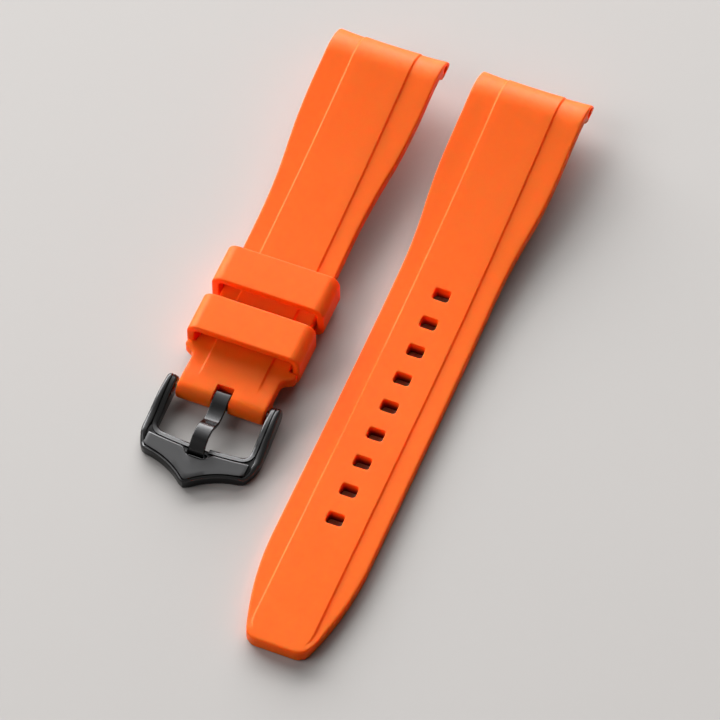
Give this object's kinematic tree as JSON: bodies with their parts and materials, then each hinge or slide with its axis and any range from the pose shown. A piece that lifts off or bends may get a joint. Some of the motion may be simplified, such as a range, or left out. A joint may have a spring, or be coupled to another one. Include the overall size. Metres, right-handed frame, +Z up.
{
  "type": "rubber watch strap",
  "caption": "Two-piece curved-end rubber watch strap lying flat: tapered tail with adjustment holes, short half with loose keepers and a shield-front tang buckle.",
  "frame": {"origin": "middle of both halves' footprint, on the surface that they lie on", "axes": "+Y along the straps towards the two lug ends, +X across them, +Z up from the surface"},
  "size_m": [0.0463, 0.1184, 0.0093],
  "materials": {
    "strap_rubber": "fine matt moulded",
    "buckle_metal": "satin black coating on steel",
    "bar_steel": "plain turned steel"
  },
  "bodies": {
    "buckle_half": {"buckle_side_strap": "strap_rubber", "spring_bar_tube": "bar_steel", "spring_bar_spring": "bar_steel"},
    "tail_half": {"tail_side_strap": "strap_rubber"},
    "lower_keeper": {"lower_keeper": "strap_rubber"},
    "upper_keeper": {"upper_keeper": "strap_rubber"},
    "buckle_frame": {"buckle_frame": "buckle_metal"},
    "buckle_tongue": {"buckle_tongue": "buckle_metal"},
    "spring_bar_plunger_left": {"spring_bar_plunger_left": "bar_steel"},
    "spring_bar_plunger_right": {"spring_bar_plunger_right": "bar_steel"}
  },
  "joints": [
    {"name": "buckle_frame_hinge", "type": "hinge", "parent": "buckle_half", "child": "buckle_frame", "pos_m": [-0.01265, -0.01895, 0.00215], "axis": [-1, 0, 0], "range_deg": [-85, 20]},
    {"name": "buckle_tongue_hinge", "type": "hinge", "parent": "buckle_frame", "child": "buckle_tongue", "pos_m": [-0.01265, -0.01895, 0.00215], "axis": [-1, 0, 0], "range_deg": [0, 70]},
    {"name": "lower_keeper_slide", "type": "slide", "parent": "buckle_half", "child": "lower_keeper", "axis": [0, 1, 0], "range_m": [0, 0.008]},
    {"name": "upper_keeper_slide", "type": "slide", "parent": "lower_keeper", "child": "upper_keeper", "axis": [0, 1, 0], "range_m": [-0.003, 0.008]},
    {"name": "spring_bar_pin_right", "type": "slide", "parent": "buckle_half", "child": "spring_bar_plunger_right", "axis": [-1, 0, 0], "range_m": [0, 0.0013], "stiffness_N_per_m": 1200, "springref_m": -0.0012, "deforming": ["spring_bar_spring"]},
    {"name": "spring_bar_pin_left", "type": "slide", "parent": "buckle_half", "child": "spring_bar_plunger_left", "axis": [1, 0, 0], "range_m": [0, 0.0013], "stiffness_N_per_m": 1200, "springref_m": -0.0012, "deforming": ["spring_bar_spring"]},
    {"name": "tail_half_lift", "type": "slide", "parent": "buckle_half", "child": "tail_half", "axis": [0, 0, 1], "range_m": [0, 0.05]}
  ]
}
